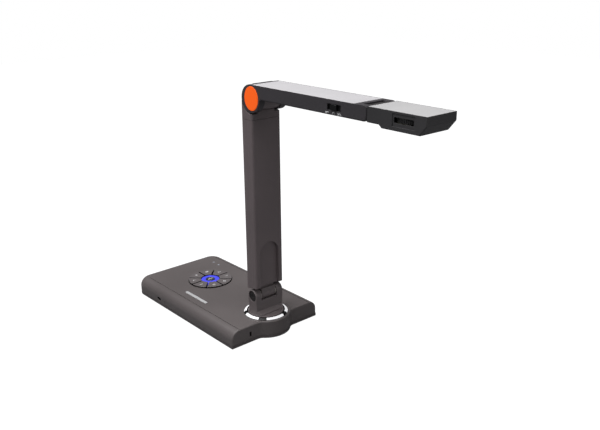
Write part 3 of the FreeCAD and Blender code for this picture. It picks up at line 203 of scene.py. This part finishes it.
SOFT_EDGE = soft_edge_group()
MOULD_GRAIN = mould_grain_group()
MIX_A = 6          # a colour mix node's first colour, its second colour and its result
MIX_B = 7
MIX_RESULT = 2
TONE_LOW = 0.45    # what the grain's tone spans
TONE_HIGH = 0.90
ROUGH_SPREAD = 0.06
PIT_DEPTH = 0.00012


def linear(colour):
    """An sRGB colour of 0 to 255 as the linear RGBA that a shader takes."""
    parts = [c / 255.0 for c in colour]
    return tuple(((c + 0.055) / 1.055) ** 2.4 if c > 0.04045 else c / 12.92 for c in parts) + (1.0,)


def moulded(name, colour, rough=0.5, grain=1500.0, depth=0.25, ease=0.0005, worn=1.35, drift=0.10,
            metal=0.0, coat=0.0, gloss=0.5):
    """A plastic, rubber or metal face: grain in bump and tone, eased edges rubbed paler."""
    material = bpy.data.materials.new(name)
    material.use_nodes = True
    tree = material.node_tree
    shader = tree.nodes["Principled BSDF"]
    shader.inputs["Specular IOR Level"].default_value = gloss
    shader.inputs["Coat Roughness"].default_value = 0.2
    shader.inputs["Coat Weight"].default_value = coat
    shader.inputs["Metallic"].default_value = metal
    texture = tree.nodes.new("ShaderNodeGroup")
    texture.node_tree = MOULD_GRAIN
    texture.inputs["Scale"].default_value = grain
    edge = tree.nodes.new("ShaderNodeGroup")
    edge.node_tree = SOFT_EDGE
    edge.inputs["Radius"].default_value = ease
    base = linear(colour)
    shade = tree.nodes.new("ShaderNodeMix")
    shade.data_type = "RGBA"
    shade.inputs[MIX_A].default_value = tuple(c * (1.0 - drift) for c in base[:3]) + (1.0,)
    shade.inputs[MIX_B].default_value = tuple(min(1.0, c * (1.0 + drift)) for c in base[:3]) + (1.0,)
    tone = tree.nodes.new("ShaderNodeMapRange")
    tone.inputs["From Min"].default_value = TONE_LOW
    tone.inputs["From Max"].default_value = TONE_HIGH
    rub = tree.nodes.new("ShaderNodeMath")
    rub.operation = "MULTIPLY"
    rubbed = tree.nodes.new("ShaderNodeMix")
    rubbed.data_type = "RGBA"
    rubbed.inputs[MIX_B].default_value = tuple(min(1.0, c * worn + 0.004) for c in base[:3]) + (1.0,)
    polish = tree.nodes.new("ShaderNodeMapRange")
    polish.inputs["From Min"].default_value = TONE_LOW
    polish.inputs["From Max"].default_value = TONE_HIGH
    polish.inputs["To Min"].default_value = rough - ROUGH_SPREAD
    polish.inputs["To Max"].default_value = rough + ROUGH_SPREAD
    bump = tree.nodes.new("ShaderNodeBump")
    bump.inputs["Strength"].default_value = depth
    bump.inputs["Distance"].default_value = PIT_DEPTH
    link = tree.links.new
    link(texture.outputs["Tone"], tone.inputs["Value"])
    link(tone.outputs["Result"], shade.inputs[0])
    link(texture.outputs["Tone"], polish.inputs["Value"])
    link(edge.outputs["Mask"], rub.inputs[0])
    link(texture.outputs["Rub"], rub.inputs[1])
    link(rub.outputs[0], rubbed.inputs[0])
    link(shade.outputs[MIX_RESULT], rubbed.inputs[MIX_A])
    link(rubbed.outputs[MIX_RESULT], shader.inputs["Base Color"])
    link(polish.outputs["Result"], shader.inputs["Roughness"])
    link(texture.outputs["Height"], bump.inputs["Height"])
    link(edge.outputs["Normal"], bump.inputs["Normal"])
    link(bump.outputs["Normal"], shader.inputs["Normal"])
    return material


def finish_node(material, *names):
    """Puts a material in every slot of the named CAD nodes."""
    for name in names:
        mesh = nodes[name].data
        if not mesh.materials:
            mesh.materials.append(material)
        for index in range(len(mesh.materials)):
            mesh.materials[index] = material


CASE_GREY = (103, 97, 97)
CASE_DARK = (92, 86, 87)
case_paint = moulded("case_paint", CASE_GREY, rough=0.36, grain=1400.0, depth=0.30, ease=0.0006)
finish_node(case_paint, "base_top_shell")
finish_node(moulded("case_bottom", CASE_DARK, rough=0.55, grain=1200.0, depth=0.35), "base_bottom_cover")
finish_node(moulded("foot_rubber", (38, 37, 38), rough=0.8, grain=2400.0, depth=0.6, worn=1.6), "base_feet")
finish_node(moulded("screw_zinc", (170, 168, 165), rough=0.32, grain=900.0, depth=0.12, metal=1.0),
            "base_screws", "bracket_screws", "top_plate_screws", "lower_arm_screws")
finish_node(moulded("ballast_iron", (96, 97, 100), rough=0.5, metal=0.8), "ballast_plate")
finish_node(moulded("board_green", (34, 88, 52), rough=0.35, grain=700.0, depth=0.1, coat=0.4),
            "main_board", "lamp_driver_board", "sensor_board")

# ---- keypad -------------------------------------------------------------------------------------
# Eight keys in a ring, painted like the case, round a lit blue ring and a dark centre key. Each key
# has one small white printed sign and black sides that are painted shade; the carrier and the silicone
# mat below show only in the gaps, the carrier near black as painted shade.
KEY_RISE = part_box("pad_key_1")[1][2]
OK_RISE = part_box("ok_key")[1][2]
PAD_CENTRE = tuple((a + b) / 2 for a, b in zip(*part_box("ok_key")))
SIGN_RADIUS = 0.0245
SIGN_LIFT = 0.00004
SIGN_TURN = math.radians(-90)      # the signs are read from the keypad's long side
KEY_SIGN_SIZE = 1.35
OK_SIGN_SIZE = 1.3
FIRST_KEY_ANGLE = 22.5
KEY_STEP_ANGLE = 45.0
# The carrier is coloured near black as painted shade in the gaps between the keys.
finish_node(moulded("gap_painted_shade", (22, 21, 22), rough=0.7, depth=0.4), "keypad_carrier")
finish_node(moulded("mat_silicone", (60, 60, 62), rough=0.7, depth=0.4), "keypad_mat")


def painted_dark_sides(material, colour):
    """Paint on upward faces, dark elsewhere: painted shade on key sides, painted reflection on ring walls.
    """
    tree = material.node_tree
    shader = tree.nodes["Principled BSDF"]
    paint = shader.inputs["Base Color"].links[0].from_socket
    geometry = tree.nodes.new("ShaderNodeNewGeometry")
    split = tree.nodes.new("ShaderNodeSeparateXYZ")
    level = tree.nodes.new("ShaderNodeMapRange")
    level.inputs["From Min"].default_value = 0.45
    level.inputs["From Max"].default_value = 0.75
    mix = tree.nodes.new("ShaderNodeMix")
    mix.data_type = "RGBA"
    mix.inputs[MIX_A].default_value = linear(colour)
    tree.links.new(geometry.outputs["Normal"], split.inputs["Vector"])
    tree.links.new(split.outputs["Z"], level.inputs["Value"])
    tree.links.new(level.outputs["Result"], mix.inputs[0])
    tree.links.new(paint, mix.inputs[MIX_B])
    tree.links.new(mix.outputs[MIX_RESULT], shader.inputs["Base Color"])
    return material


# The keys' walls are painted near black as the shade on their sides.
KEY_SIDE_PAINTED_SHADE = (14, 13, 14)
key_paint = moulded("key_paint", (108, 102, 103), rough=0.42, grain=1600.0, depth=0.22, ease=0.0003)
key_paint = painted_dark_sides(key_paint, KEY_SIDE_PAINTED_SHADE)
finish_node(key_paint, *["pad_key_%d" % n for n in range(1, 9)])
ok_plastic = moulded("ok_key_plastic", (52, 56, 74), rough=0.3, grain=1800.0, depth=0.12, coat=0.5)
finish_node(ok_plastic, "ok_key")


def lit_plastic(name, colour, glow_colour, strength):
    """A translucent light guide: brighter where its grain thins, and lit from inside."""
    material = moulded(name, colour, rough=0.25, grain=900.0, depth=0.10, coat=0.6)
    tree = material.node_tree
    shader = tree.nodes["Principled BSDF"]
    texture = next(n for n in tree.nodes if n.type == "GROUP" and n.node_tree == MOULD_GRAIN)
    blend = tree.nodes.new("ShaderNodeMix")
    blend.data_type = "RGBA"
    base = linear(glow_colour)
    blend.inputs[MIX_A].default_value = tuple(c * 0.72 for c in base[:3]) + (1.0,)
    blend.inputs[MIX_B].default_value = base
    tree.links.new(texture.outputs["Rub"], blend.inputs[0])
    tree.links.new(blend.outputs[MIX_RESULT], shader.inputs["Emission Color"])
    shader.inputs["Emission Strength"].default_value = strength
    return material


finish_node(lit_plastic("ring_light", (40, 44, 150), (84, 88, 255), 0.9), "keypad_light_ring")


def printed(name, colour=(236, 236, 238)):
    """Screen-printed ink: nearly white, a little broken up at its own fine scale."""
    return moulded(name, colour, rough=0.55, grain=5200.0, depth=0.5, drift=0.05, worn=1.0, ease=0.00005)


ink_white = printed("ink_white")


def put(obj, name, material, body):
    """Names a finished piece, gives it its paint and says what it rides on."""
    bpy.ops.object.select_all(action="DESELECT")
    obj.select_set(True)
    bpy.context.view_layer.objects.active = obj
    bpy.ops.object.transform_apply(location=True, rotation=True, scale=True)
    obj.name = name
    obj.data.name = name
    obj.data.materials.clear()
    obj.data.materials.append(material)
    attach(obj, body)
    return obj


def sign(name, strokes, centre, turn, size, body, material, across=(1, 0, 0), along=(0, 1, 0)):
    """A printed sign from flat strokes ((x1, y1), (x2, y2), width) in mm, laid on a face."""
    made = []
    strokes = [((x1 * size, y1 * size), (x2 * size, y2 * size), w * size)
               for (x1, y1), (x2, y2), w in strokes]
    face_x = Vector(across)
    face_y = Vector(along)
    normal = face_x.cross(face_y)
    for (x1, y1), (x2, y2), width in strokes:
        bpy.ops.object.select_all(action="DESELECT")
        bpy.ops.mesh.primitive_cube_add(size=1.0)
        bar = bpy.context.object
        length = math.hypot(x2 - x1, y2 - y1) + width
        angle = math.atan2(y2 - y1, x2 - x1) + turn
        middle = Vector(((x1 + x2) / 2, (y1 + y2) / 2)) * 0.001
        middle.rotate(Matrix.Rotation(turn, 2))
        direction = face_x * math.cos(angle) + face_y * math.sin(angle)
        side = normal.cross(direction)
        spot = Vector(centre) + face_x * middle.x + face_y * middle.y
        bar.matrix_world = Matrix.Translation(spot) @ Matrix((
            direction * length * 0.001, side * width * 0.001, normal * 2 * SIGN_LIFT)).transposed().to_4x4()
        bpy.ops.object.transform_apply(location=True, rotation=True, scale=True)
        bpy.ops.object.modifier_add(type="BEVEL")
        bar.modifiers[0].width = width * 0.00022
        bar.modifiers[0].segments = 2
        bpy.ops.object.modifier_apply(modifier=bar.modifiers[0].name)
        made.append(bar)
    bpy.ops.object.select_all(action="DESELECT")
    for bar in made:
        bar.select_set(True)
    bpy.context.view_layer.objects.active = made[0]
    if len(made) > 1:
        bpy.ops.object.join()
    return put(made[0], name, material, body)


ARROW = [((-1.3, -0.9), (0, 0.7), 0.55), ((1.3, -0.9), (0, 0.7), 0.55)]
PLUS = [((-1.5, 0), (1.5, 0), 0.6), ((0, -1.5), (0, 1.5), 0.6)]
MINUS = [((-1.5, 0), (1.5, 0), 0.7)]
SQUARE = [((-1.4, -1), (1.4, -1), 0.45), ((1.4, -1), (1.4, 1), 0.45), ((1.4, 1), (-1.4, 1), 0.45),
          ((-1.4, 1), (-1.4, -1), 0.45)]
BARS = [((-1.4, 0.9), (1.4, 0.9), 0.5), ((-1.4, 0), (1.4, 0), 0.5), ((-1.4, -0.9), (1.4, -0.9), 0.5)]
DOT = [((-0.5, 0), (0.5, 0), 1.5)]
PAUSE = [((-0.8, -1.1), (-0.8, 1.1), 0.7), ((0.8, -1.1), (0.8, 1.1), 0.7)]
CHEVRON = [((-1.2, 0.9), (0, -0.7), 0.55), ((1.2, 0.9), (0, -0.7), 0.55)]
for n, strokes in enumerate((PLUS, ARROW, SQUARE, BARS, DOT, CHEVRON, MINUS, PAUSE), start=1):
    angle = math.radians(FIRST_KEY_ANGLE + KEY_STEP_ANGLE * (n - 1))
    spot = (PAD_CENTRE[0] + SIGN_RADIUS * math.cos(angle),
            PAD_CENTRE[1] + SIGN_RADIUS * math.sin(angle), KEY_RISE)
    sign("key_sign_%d" % n, strokes, spot, SIGN_TURN, KEY_SIGN_SIZE, "key_%d" % n,
         ink_white)
sign("ok_sign", [((-2.6, 0), (-1.0, 0), 1.2), ((1.0, 0), (2.6, 0), 1.2), ((0, -2.2), (0, 2.2), 0.5)],
     (PAD_CENTRE[0], PAD_CENTRE[1], OK_RISE), SIGN_TURN, OK_SIGN_SIZE, "ok",
     printed("ink_ok", (196, 200, 180)))

# ---- badge, lights and sockets ------------------------------------------------------------------
# A blank moulded name plate, two pin-point light pipes, the charging socket in the long side, the
# two sockets in the far end and the security slot with its steel plate behind.
badge_silver = moulded("badge_silver", (214, 214, 216), rough=0.35, grain=2600.0, depth=0.15, metal=0.2)
finish_node(badge_silver, "name_badge_blank")
finish_node(lit_plastic("pipe_clear", (150, 152, 160), (200, 205, 220), 0.15), "indicator_light_pipes")
socket_black = moulded("socket_black", (20, 20, 21), rough=0.4, grain=2000.0, depth=0.2)
finish_node(socket_black, "rear_power_jack", "rear_usb_socket", "side_socket", "lock_slot_plate")

# ---- turret -------------------------------------------------------------------------------------
# A polished chrome trim ring frames the turning disc; its reflections are painted on as a white glow
# with dark marks, a dark inner slope and a dark outer wall. Disc and bracket are moulded in dark
# plastic, with steel hinge parts inside them.
# Dark marks at these angles and black on the inner slope are painted dark reflections on the chrome.
RING_PAINTED_REFLECTIONS = ((-115.0, 8.5), (-48.0, 11.0), (25.0, 9.0), (97.0, 9.0), (169.0, 9.0))  # angle, half width
# The ring's walls are painted near black as dark reflections.
RING_WALL_PAINTED_REFLECTION = (12, 12, 13)
PAINTED_REFLECTION_BLACK = (8, 8, 9)
INWARD_FACING = -0.006
# The ring glows though it holds no lamp: a painted bright reflection on white paint.
RING_PAINTED_SHINE = 0.42


def ring_painted_finish():
    """Painted reflections: white paint with a glow, dark marks round it, a dark inner slope and outer wall.
    """
    material = moulded("ring_chrome", (250, 250, 252), rough=0.28, grain=900.0, depth=0.04, drift=0.02,
                       worn=1.0, gloss=0.25)
    material = painted_dark_sides(material, RING_WALL_PAINTED_REFLECTION)
    tree = material.node_tree
    shader = tree.nodes["Principled BSDF"]
    plating = shader.inputs["Base Color"].links[0].from_socket
    place = tree.nodes.new("ShaderNodeTexCoord")
    split = tree.nodes.new("ShaderNodeSeparateXYZ")
    angle = tree.nodes.new("ShaderNodeMath")
    angle.operation = "ARCTAN2"
    tree.links.new(place.outputs["Object"], split.inputs["Vector"])
    tree.links.new(split.outputs["Y"], angle.inputs[0])
    tree.links.new(split.outputs["X"], angle.inputs[1])
    total = None
    for reflection_angle, half in RING_PAINTED_REFLECTIONS:
        near = tree.nodes.new("ShaderNodeMath")
        near.operation = "COMPARE"
        near.inputs[1].default_value = math.radians(reflection_angle)
        near.inputs[2].default_value = math.radians(half)
        tree.links.new(angle.outputs[0], near.inputs[0])
        if total is None:
            total = near.outputs[0]
            continue
        add = tree.nodes.new("ShaderNodeMath")
        add.operation = "MAXIMUM"
        tree.links.new(total, add.inputs[0])
        tree.links.new(near.outputs[0], add.inputs[1])
        total = add.outputs[0]
    flat = tree.nodes.new("ShaderNodeVectorMath")
    flat.operation = "MULTIPLY"
    flat.inputs[1].default_value = (1.0, 1.0, 0.0)
    facing = tree.nodes.new("ShaderNodeVectorMath")
    facing.operation = "DOT_PRODUCT"
    normal = tree.nodes.new("ShaderNodeNewGeometry")
    inward = tree.nodes.new("ShaderNodeMath")
    inward.operation = "LESS_THAN"
    inward.inputs[1].default_value = INWARD_FACING
    either = tree.nodes.new("ShaderNodeMath")
    either.operation = "MAXIMUM"
    tree.links.new(place.outputs["Object"], flat.inputs[0])
    tree.links.new(flat.outputs["Vector"], facing.inputs[0])
    tree.links.new(normal.outputs["Normal"], facing.inputs[1])
    tree.links.new(facing.outputs["Value"], inward.inputs[0])
    tree.links.new(inward.outputs[0], either.inputs[0])
    tree.links.new(total, either.inputs[1])
    total = either.outputs[0]
    reflection_paint = tree.nodes.new("ShaderNodeMix")
    reflection_paint.data_type = "RGBA"
    reflection_paint.inputs[MIX_B].default_value = linear(PAINTED_REFLECTION_BLACK)
    tree.links.new(total, reflection_paint.inputs[0])
    tree.links.new(plating, reflection_paint.inputs[MIX_A])
    tree.links.new(reflection_paint.outputs[MIX_RESULT], shader.inputs["Base Color"])
    tree.links.new(reflection_paint.outputs[MIX_RESULT], shader.inputs["Emission Color"])
    shader.inputs["Emission Strength"].default_value = RING_PAINTED_SHINE
    return material


finish_node(ring_painted_finish(), "turret_trim_ring")
turret_plastic = moulded("turret_plastic", (115, 107, 108), rough=0.36, grain=1500.0, depth=0.25)
finish_node(turret_plastic, "turret_disc", "turret_bracket", "lower_arm_knuckle")
finish_node(moulded("hinge_cap_black", (34, 33, 34), rough=0.45, depth=0.2), "hinge_caps")
finish_node(moulded("washer_nylon", (196, 194, 184), rough=0.5), "turret_washers", "elbow_washers",
            "lower_hinge_washers")
finish_node(moulded("hinge_steel", (150, 150, 152), rough=0.28, grain=800.0, depth=0.1, metal=1.0),
            "spindle_nut", "lower_hinge_pin", "elbow_pin", "head_tilt_pin", "elbow_spring",
            "lower_arm_spine")

# ---- lower arm ----------------------------------------------------------------------------------
# Two long satin covers screwed together round a steel spine, with a shallow arched recess that
# takes the lens when the arm is folded.
arm_plastic = moulded("arm_plastic", (117, 107, 109), rough=0.38, grain=1500.0, depth=0.25)
finish_node(arm_plastic, "lower_arm_rear_shell", "lower_arm_front_cover", "elbow_neck")

# ---- elbow and upper arm ------------------------------------------------------------------------
# Orange snap-in caps close both ends of the elbow's pin. The upper arm is a black moulded channel
# with a pale satin plate laid in its top.
# The caps are given a glow though they hold no lamp: painted light on their orange.
CAP_PAINTED_GLOW = 0.42
cap_orange = moulded("cap_orange", (255, 99, 28), rough=0.5, grain=1800.0, depth=0.15, worn=1.1,
                     drift=0.04, gloss=0.25)
cap_shader = cap_orange.node_tree.nodes["Principled BSDF"]
cap_colour = cap_shader.inputs["Base Color"].links[0].from_socket
cap_orange.node_tree.links.new(cap_colour, cap_shader.inputs["Emission Color"])
cap_shader.inputs["Emission Strength"].default_value = CAP_PAINTED_GLOW
finish_node(cap_orange, "elbow_caps")
arm_black = moulded("arm_black", (68, 65, 69), rough=0.48, grain=1600.0, depth=0.22, ease=0.0004)
finish_node(arm_black, "upper_arm_body")
plate_pale = moulded("plate_pale", (207, 205, 208), rough=0.42, grain=2600.0, depth=0.10, drift=0.03,
                     worn=1.1)
finish_node(plate_pale, "upper_arm_top_plate")

# ---- lamp switch --------------------------------------------------------------------------------
# A ribbed black slider in a slot of the near side, with three printed signs below it.
finish_node(moulded("switch_black", (24, 24, 26), rough=0.38, depth=0.2), "lamp_switch")
SWITCH_SIGN_Z = 0.3158
SWITCH_SIGN_SIZE = 1.55
SWITCH_SIGNS = (
    (0.1404, [((-1.4, 0.3), (1.4, 0.3), 0.6), ((-1.4, -0.5), (-0.4, -0.5), 0.5)]),
    (0.1503, [((-0.8, -0.8), (-0.8, 0.8), 0.35), ((0.8, -0.8), (0.8, 0.8), 0.35),
              ((-0.8, 0.8), (0.8, 0.8), 0.35)]),
    (0.1593, [((-1.5, 0.5), (-0.3, -0.7), 0.4), ((0.3, 0.7), (1.5, -0.5), 0.4),
              ((-1.5, -0.7), (-0.3, 0.5), 0.4)]))
arm_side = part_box("upper_arm_body")[0][1]
SIDE_ACROSS = (1, 0, 0)
SIDE_ALONG = (0, 0, 1)
for n, (x, strokes) in enumerate(SWITCH_SIGNS, start=1):
    sign("lamp_sign_%d" % n, strokes, (x, arm_side, SWITCH_SIGN_Z), 0.0, SWITCH_SIGN_SIZE, "upper_arm",
         ink_white, SIDE_ACROSS, SIDE_ALONG)

# ---- head ---------------------------------------------------------------------------------------
# A black two-part housing on a short grey knuckle, darkened as painted shade in the slot under the
# head, with the lens, its bezel and the lamp window underneath and the rubber focus wheel showing
# through a window in each side.
head_black = moulded("head_black", (62, 61, 63), rough=0.5, grain=1600.0, depth=0.22, ease=0.0004)
finish_node(head_black, "head_housing")
head_plate_pale = moulded("head_plate_pale", (197, 196, 197), rough=0.42, grain=2600.0, depth=0.10,
                          drift=0.03, worn=1.1)
finish_node(head_plate_pale, "head_top_plate")
finish_node(moulded("bezel_black", (40, 40, 42), rough=0.3, depth=0.1, coat=0.3), "lens_bezel")
# The knuckle's grey is darkened as painted shade for the slot between the arm and the head.
finish_node(moulded("knuckle_grey", (58, 55, 56), rough=0.45, depth=0.2), "head_knuckle")
finish_node(moulded("focus_rubber", (34, 34, 35), rough=0.75, grain=2600.0, depth=0.5), "focus_ring")
finish_node(moulded("lens_black", (16, 16, 17), rough=0.35, metal=0.3), "lens_barrel")
finish_node(lit_plastic("led_yellow", (110, 106, 76), (255, 246, 190), 0.02), "lamp_leds")


def clear_glass(name, tint, rough):
    """Coated glass: a faint tint, faint dust in its roughness and a clear reflection."""
    material = bpy.data.materials.new(name)
    material.use_nodes = True
    tree = material.node_tree
    shader = tree.nodes["Principled BSDF"]
    shader.inputs["Transmission Weight"].default_value = 0.85
    shader.inputs["IOR"].default_value = 1.5
    texture = tree.nodes.new("ShaderNodeGroup")
    texture.node_tree = MOULD_GRAIN
    texture.inputs["Scale"].default_value = 400.0
    dust = tree.nodes.new("ShaderNodeMapRange")
    dust.inputs["To Min"].default_value = rough
    dust.inputs["To Max"].default_value = rough + 0.08
    shade = tree.nodes.new("ShaderNodeMix")
    shade.data_type = "RGBA"
    shade.inputs[MIX_A].default_value = linear(tint)
    shade.inputs[MIX_B].default_value = tuple(c * 0.9 for c in linear(tint)[:3]) + (1.0,)
    tree.links.new(texture.outputs["Rub"], dust.inputs["Value"])
    tree.links.new(texture.outputs["Tone"], shade.inputs[0])
    tree.links.new(dust.outputs["Result"], shader.inputs["Roughness"])
    tree.links.new(shade.outputs[MIX_RESULT], shader.inputs["Base Color"])
    return material


finish_node(clear_glass("lens_clear", (190, 200, 225), 0.02), "lens_glass", "lens_elements")
finish_node(clear_glass("lamp_clear", (235, 235, 228), 0.25), "lamp_window")
